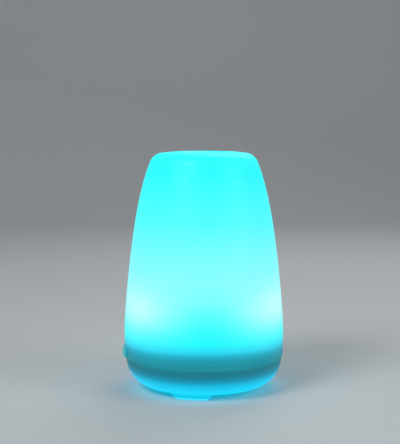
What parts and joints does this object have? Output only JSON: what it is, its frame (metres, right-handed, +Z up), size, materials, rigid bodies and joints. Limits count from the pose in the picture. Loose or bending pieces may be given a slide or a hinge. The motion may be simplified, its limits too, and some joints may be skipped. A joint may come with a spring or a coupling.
{
  "type": "essential oil diffuser",
  "caption": "Ultrasonic oil diffuser: glowing lift-off cover with a mist outlet over a water tank, on a low base with fan, transducer and keys at the back.",
  "frame": {"origin": "centre of the body's bounding box on the table, at the soles of the feet", "axes": "+Z up; -Y is the front, away from the power inlet and the keys; +X to the right seen from the front, and the cover's lifting tab is on the left, -X"},
  "size_m": [0.0924, 0.0912, 0.135],
  "materials": {
    "cover_plastic": "milky translucent polypropylene, satin, lit from inside",
    "clear_pp": "natural translucent polypropylene, satin",
    "outlet_plastic": "milky translucent, semi-gloss",
    "housing_plastic": "natural translucent polypropylene, satin",
    "base_plastic": "milky translucent, satin, lit from inside",
    "pad_silicone": "translucent silicone",
    "seal_rubber": "black silicone",
    "disc_metal": "bright plated",
    "ceramic": "silvered ceramic",
    "clamp_plastic": "white moulded plastic",
    "screw_steel": "zinc plated",
    "black_plastic": "black moulded plastic",
    "bronze": "sintered bronze",
    "core_steel": "laminated",
    "copper_wire": "enamelled copper",
    "magnet": "dark ferrite",
    "green_board": "green solder mask",
    "white_board": "white solder mask",
    "chip_epoxy": "black moulded epoxy",
    "can_sleeve": "dark blue sleeve",
    "sink_aluminium": "extruded",
    "connector_plastic": "natural nylon",
    "contact_metal": "nickel plated",
    "key_plastic": "milky translucent, semi-gloss",
    "led_lens": "clear lens, lit",
    "red_lead": "PVC insulation",
    "white_lead": "PVC insulation",
    "blue_lead": "PVC insulation"
  },
  "bodies": {
    "base": {"tank_housing": "housing_plastic", "air_outlet_cap": "housing_plastic", "housing_seal": "seal_rubber", "transducer_disc": "disc_metal", "transducer_ceramic": "ceramic", "transducer_gasket": "seal_rubber", "transducer_clamp": "clamp_plastic", "clamp_screws": "screw_steel", "base_shell": "base_plastic", "foot_pads": "pad_silicone", "case_screws": "screw_steel", "fan_frame": "black_plastic", "fan_bearing": "bronze", "fan_stator": "core_steel", "fan_coils": "copper_wire", "fan_screws": "screw_steel", "main_board": "green_board", "board_screws": "screw_steel", "control_chips": "chip_epoxy", "power_coil": "magnet", "capacitors": "can_sleeve", "drive_transistor": "chip_epoxy", "heat_sink": "sink_aluminium", "board_connectors": "connector_plastic", "dc_jack": "black_plastic", "dc_jack_pin": "contact_metal", "jack_terminals": "contact_metal", "mist_switch": "black_plastic", "light_switch": "black_plastic", "led_board": "white_board", "leds": "led_lens", "base_leds": "led_lens", "fan_lead": "red_lead", "transducer_lead": "white_lead", "led_lead": "blue_lead"},
    "cover": {"cover_shell": "cover_plastic", "mist_guide": "clear_pp", "outlet_ring": "outlet_plastic"},
    "mist_key": {"mist_button": "key_plastic", "mist_switch_plunger": "clamp_plastic"},
    "light_key": {"light_button": "key_plastic", "light_switch_plunger": "clamp_plastic"},
    "fan": {"fan_rotor": "black_plastic", "fan_magnet": "magnet", "fan_shaft": "screw_steel"}
  },
  "joints": [
    {"name": "cover_lift", "type": "slide", "parent": "base", "child": "cover", "axis": [0, 0, 1], "range_m": [0, 0.12]},
    {"name": "mist_key_press", "type": "slide", "parent": "base", "child": "mist_key", "axis": [-0.5, -0.866, 0], "range_m": [0, 0.0007], "stiffness_N_per_m": 300, "springref_m": -0.002},
    {"name": "light_key_press", "type": "slide", "parent": "base", "child": "light_key", "axis": [0.5, -0.866, 0], "range_m": [0, 0.0007], "stiffness_N_per_m": 300, "springref_m": -0.002},
    {"name": "fan_spin", "type": "hinge", "parent": "base", "child": "fan", "pos_m": [-0.018, 0, 0.0108], "axis": [0, 0, 1], "continuous": true}
  ]
}
